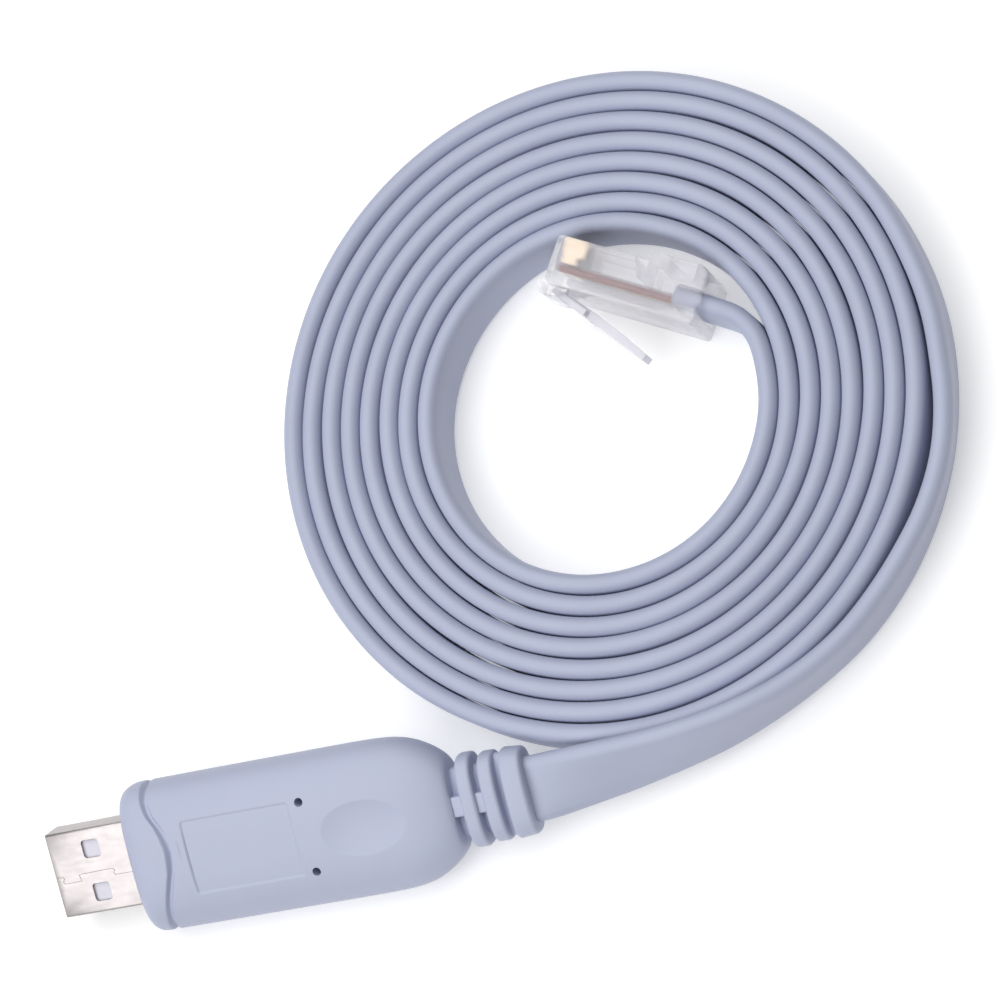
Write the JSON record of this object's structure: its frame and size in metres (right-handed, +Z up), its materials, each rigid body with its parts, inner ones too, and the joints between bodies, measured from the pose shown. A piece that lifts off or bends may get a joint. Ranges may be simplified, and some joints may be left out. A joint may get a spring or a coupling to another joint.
{
  "type": "usb console cable",
  "caption": "Flat console cord wound in a flat spiral, with a USB plug in a moulded housing at one end and a clear modular plug at the other.",
  "frame": {"origin": "bottom centre of the box around the USB plug with its housing, on the surface that the cable lies on", "axes": "+X from the USB plug's tip along the housing to the cord, +Z up, +Y to the side where the coil lies"},
  "size_m": [0.1332, 0.1058, 0.0135],
  "materials": {
    "shell_steel": "satin nickel",
    "insulator_white": "smooth",
    "contact_gold": "gold plated",
    "moulding": "satin moulded",
    "jacket": "satin extruded",
    "clear_plastic": "clear moulded",
    "wire_blue": "satin",
    "wire_orange": "satin",
    "wire_black": "satin",
    "wire_red": "satin",
    "wire_green": "satin",
    "wire_yellow": "satin",
    "wire_brown": "satin",
    "wire_grey": "satin"
  },
  "bodies": {
    "root": {"usb_shell": "shell_steel", "usb_insulator": "insulator_white", "usb_contact_1": "contact_gold", "usb_contact_2": "contact_gold", "usb_contact_3": "contact_gold", "usb_contact_4": "contact_gold", "housing": "moulding", "cable_coil": "jacket", "cable_lead": "jacket", "cable_tail": "jacket", "modular_plug": "clear_plastic", "plug_blade_1": "contact_gold", "plug_blade_2": "contact_gold", "plug_blade_3": "contact_gold", "plug_blade_4": "contact_gold", "plug_blade_5": "contact_gold", "plug_blade_6": "contact_gold", "plug_blade_7": "contact_gold", "plug_blade_8": "contact_gold", "plug_wire_1": "wire_grey", "plug_wire_2": "wire_blue", "plug_wire_3": "wire_yellow", "plug_wire_4": "wire_green", "plug_wire_5": "wire_red", "plug_wire_6": "wire_black", "plug_wire_7": "wire_orange", "plug_wire_8": "wire_brown"}
  },
  "joints": []
}
